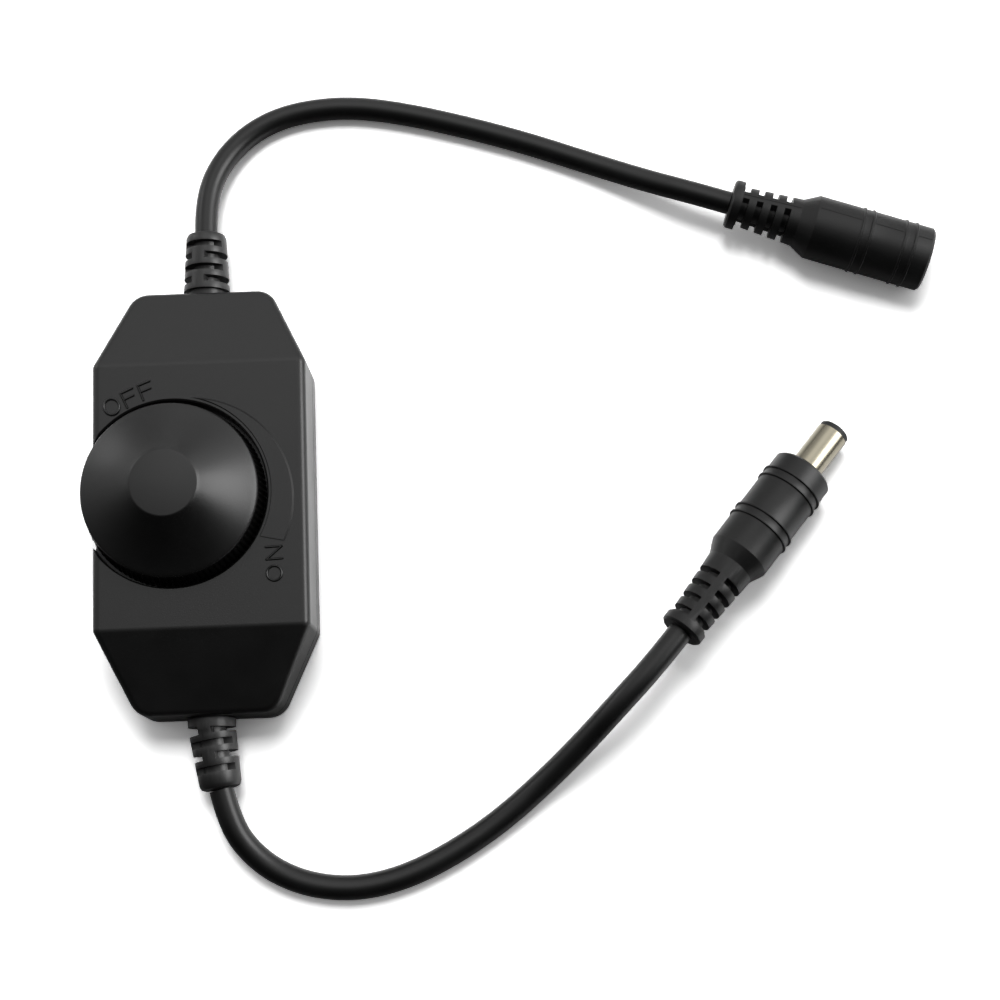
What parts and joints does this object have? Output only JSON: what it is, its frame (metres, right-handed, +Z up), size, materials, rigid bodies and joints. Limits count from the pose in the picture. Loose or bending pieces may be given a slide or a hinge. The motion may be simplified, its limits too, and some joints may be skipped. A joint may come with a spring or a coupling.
{
  "type": "rotary cord dimmer",
  "caption": "In-line rotary dimmer in a black case with a conical dial, slotted strain reliefs and short cords ending in a round barrel plug and socket.",
  "frame": {"origin": "middle of the case's flat underside, on the surface it stands on", "axes": "+Z up, +Y along the case towards the cord with the socket, +X across the case"},
  "size_m": [0.1444, 0.1386, 0.0248],
  "materials": {
    "case_plastic": "finely textured black ABS",
    "knob_plastic": "satin black ABS",
    "screw_steel": "zinc plated",
    "pot_plastic": "moulded nylon",
    "phenolic": "phenolic paper",
    "shaft_plastic": "white acetal",
    "spring_brass": "spring brass",
    "tinned_metal": "tinned copper",
    "board_laminate": "green solder mask",
    "epoxy": "moulding compound",
    "can_aluminium": "drawn can",
    "ceramic": "chip ceramic",
    "wire_red": "PVC insulation",
    "wire_black": "PVC insulation",
    "soft_pvc": "satin moulded PVC",
    "cord_pvc": "smooth black PVC",
    "nickel": "nickel plated brass",
    "insulator": "black nylon"
  },
  "bodies": {
    "housing": {"upper_case": "case_plastic", "lower_case": "case_plastic", "case_screws": "screw_steel", "pot_housing": "pot_plastic", "pot_track": "phenolic", "pot_terminals": "tinned_metal", "circuit_board": "board_laminate", "power_transistor": "epoxy", "transistor_tab": "tinned_metal", "timer_chip": "epoxy", "chip_leads": "tinned_metal", "smoothing_capacitor": "can_aluminium", "capacitor_base": "epoxy", "diode": "epoxy", "chip_resistors": "epoxy", "chip_capacitors": "ceramic", "red_wire_in": "wire_red", "black_wire_in": "wire_black", "red_wire_out": "wire_red", "black_wire_out": "wire_black", "relief_in": "soft_pvc", "relief_out": "soft_pvc", "cord_in": "cord_pvc", "cord_out": "cord_pvc", "plug_body": "soft_pvc", "plug_barrel": "nickel", "plug_insulator": "insulator", "plug_contact": "nickel", "socket_body": "soft_pvc", "socket_insert": "insulator", "socket_pin": "nickel", "socket_spring": "nickel"},
    "dial": {"dial_knob": "knob_plastic", "pot_shaft": "shaft_plastic", "pot_wiper": "spring_brass"}
  },
  "joints": [
    {"name": "dial_turn", "type": "hinge", "parent": "housing", "child": "dial", "pos_m": [-0.0045, 0.0002, 0.0124], "axis": [0, 0, -1], "range_deg": [-140, 140]}
  ]
}
